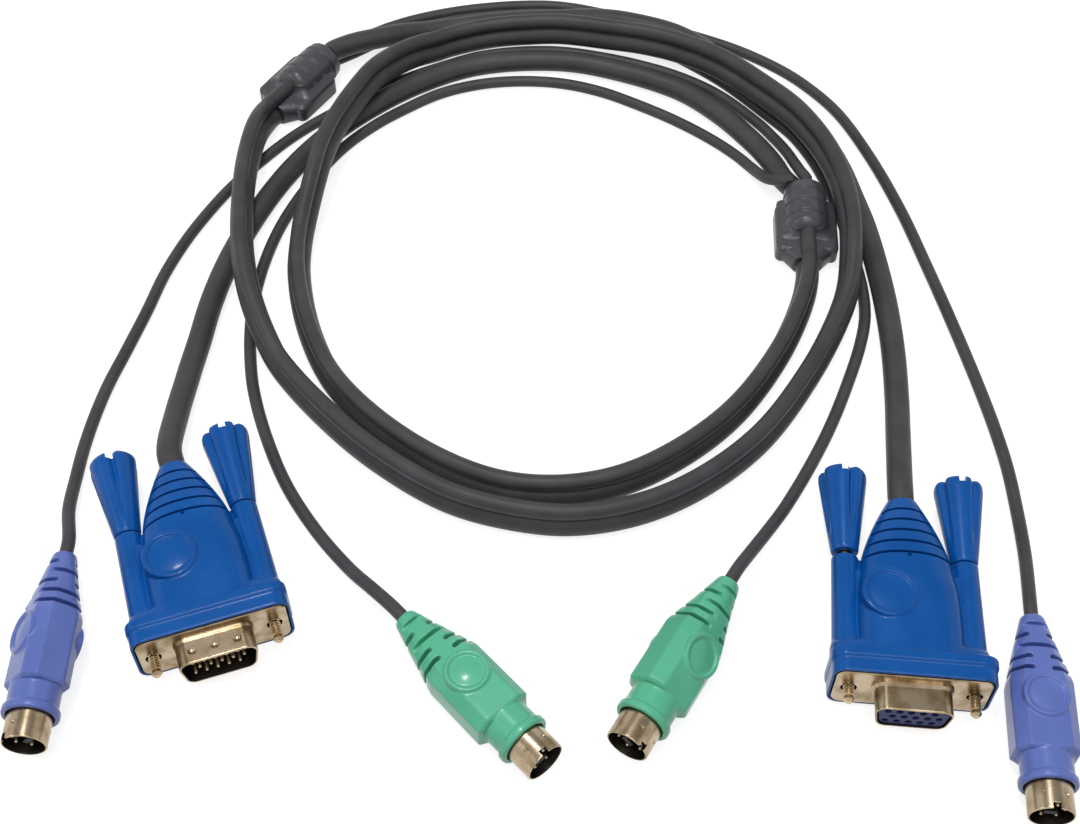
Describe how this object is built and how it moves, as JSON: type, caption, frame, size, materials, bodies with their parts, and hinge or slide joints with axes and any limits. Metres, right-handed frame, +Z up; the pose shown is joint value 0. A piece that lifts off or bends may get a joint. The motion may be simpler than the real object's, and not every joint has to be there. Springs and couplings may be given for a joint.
{
  "type": "computer cable",
  "caption": "Grey computer cable with two junction blocks, a screw-in video plug at each end, and round keyboard and mouse plugs in purple and green.",
  "frame": {"origin": "centre of the footprint of the plugs and junction blocks, on the table", "axes": "+Z up from the table, +X to the right and +Y to the back of the loop as it lies"},
  "size_m": [0.2146, 0.2445, 0.0155],
  "materials": {
    "cord_grey": "satin",
    "block_grey": "satin",
    "hood_blue": "satin",
    "plug_purple": "satin",
    "plug_green": "satin",
    "insert_black": "satin",
    "insert_blue": "satin",
    "shell_nickel": "satin nickel plate",
    "screw_brass": "satin"
  },
  "bodies": {
    "cable": {"trunk_cable": "cord_grey", "video_cord_male": "cord_grey", "video_cord_female": "cord_grey", "round_cord_green_left": "cord_grey", "round_cord_purple_left": "cord_grey", "round_cord_green_right": "cord_grey", "round_cord_purple_right": "cord_grey", "junction_left": "block_grey", "junction_right": "block_grey", "male_hood": "hood_blue", "male_shell": "shell_nickel", "male_insert": "insert_black", "female_hood": "hood_blue", "female_shell": "shell_nickel", "female_insert": "insert_blue", "green_left_grip": "plug_green", "green_left_shell": "shell_nickel", "green_left_insert": "insert_black", "purple_left_grip": "plug_purple", "purple_left_shell": "shell_nickel", "purple_left_insert": "insert_black", "green_right_grip": "plug_green", "green_right_shell": "shell_nickel", "green_right_insert": "insert_black", "purple_right_grip": "plug_purple", "purple_right_shell": "shell_nickel", "purple_right_insert": "insert_black"},
    "male_thumbscrew_left": {"male_knob_left": "hood_blue", "male_screw_left": "screw_brass"},
    "male_thumbscrew_right": {"male_knob_right": "hood_blue", "male_screw_right": "screw_brass"},
    "female_thumbscrew_left": {"female_knob_left": "hood_blue", "female_screw_left": "screw_brass"},
    "female_thumbscrew_right": {"female_knob_right": "hood_blue", "female_screw_right": "screw_brass"}
  },
  "joints": [
    {"name": "male_thumbscrew_left_turn", "type": "hinge", "parent": "cable", "child": "male_thumbscrew_left", "pos_m": [-0.08709, -0.04732, 0.0076], "axis": [0.3173, -0.9483, 0], "continuous": true},
    {"name": "male_thumbscrew_right_turn", "type": "hinge", "parent": "cable", "child": "male_thumbscrew_right", "pos_m": [-0.06339, -0.03939, 0.0076], "axis": [0.3173, -0.9483, 0], "continuous": true},
    {"name": "female_thumbscrew_left_turn", "type": "hinge", "parent": "cable", "child": "female_thumbscrew_left", "pos_m": [0.06506, -0.05142, 0.0076], "axis": [-0.0872, -0.9962, 0], "continuous": true},
    {"name": "female_thumbscrew_right_turn", "type": "hinge", "parent": "cable", "child": "female_thumbscrew_right", "pos_m": [0.08986, -0.05459, 0.0076], "axis": [-0.0872, -0.9962, 0], "continuous": true}
  ]
}
